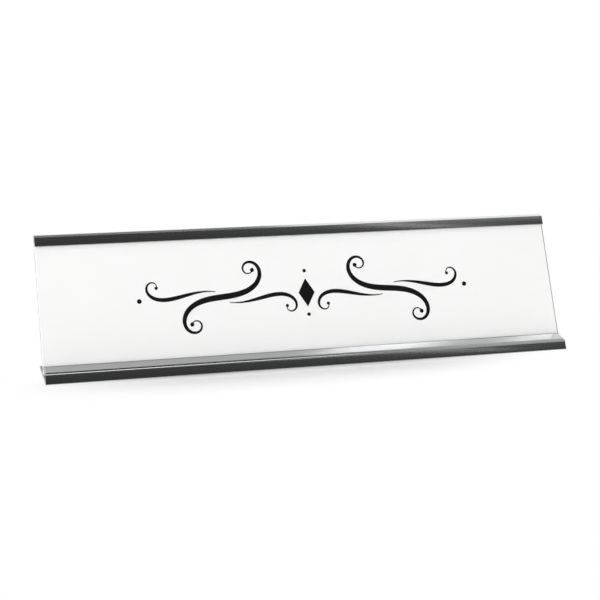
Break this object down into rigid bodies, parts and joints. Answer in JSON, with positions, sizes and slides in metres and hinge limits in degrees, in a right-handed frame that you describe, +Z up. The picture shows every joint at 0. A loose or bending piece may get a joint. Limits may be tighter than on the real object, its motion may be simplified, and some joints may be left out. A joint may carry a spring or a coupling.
{
  "type": "desk name plate",
  "caption": "Leaning desk name plate: a white insert slides lengthwise in an aluminium holder with a sloped nose, a top lip, a flat sole and non-slip pads.",
  "frame": {"origin": "on the desk surface, under the middle of the object's length and depth", "axes": "+X along the plate to the reader's right, +Y to the back, +Z up; the face that is read looks towards -Y and leans back"},
  "size_m": [0.2032, 0.0314, 0.05],
  "materials": {
    "aluminium": "satin extruded silver, fine lengthwise lines",
    "white_plastic": "smooth white, low sheen",
    "pad_rubber": "matte black"
  },
  "bodies": {
    "holder_body": {"holder": "aluminium", "front_left_pad": "pad_rubber", "front_right_pad": "pad_rubber", "rear_left_pad": "pad_rubber", "rear_right_pad": "pad_rubber"},
    "insert_body": {"insert_plate": "white_plastic"}
  },
  "joints": [
    {"name": "insert_slide", "type": "slide", "parent": "holder_body", "child": "insert_body", "axis": [1, 0, 0], "range_m": [-0.21, 0.21]}
  ]
}
